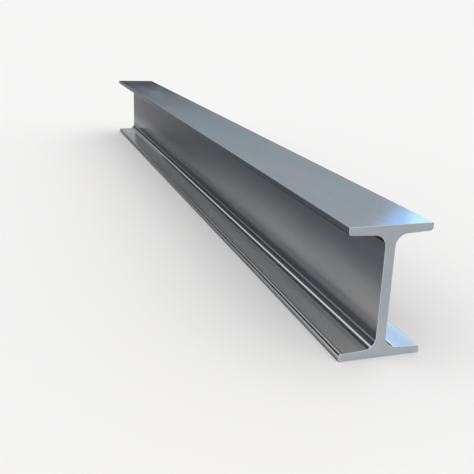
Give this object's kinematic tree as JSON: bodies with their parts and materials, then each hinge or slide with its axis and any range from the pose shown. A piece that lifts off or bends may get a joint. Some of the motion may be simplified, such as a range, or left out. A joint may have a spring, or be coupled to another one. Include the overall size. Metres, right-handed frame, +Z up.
{
  "type": "steel i-beam",
  "caption": "Hot-rolled steel I-beam cut to length: flanges that taper towards their toes, joined to an upright web by round root fillets, with square sawn ends.",
  "frame": {"origin": "on the underside of the bottom flange, half way along the bar and half way across the flange", "axes": "+Y runs along the bar, +X runs across the flanges, +Z runs up the web from the bottom flange to the top flange"},
  "size_m": [0.13, 2, 0.2],
  "materials": {
    "rolled_steel": "clean as-rolled steel, satin, with fine streaks along the bar and matt sawn ends"
  },
  "bodies": {
    "root": {"i_beam": "rolled_steel"}
  },
  "joints": []
}
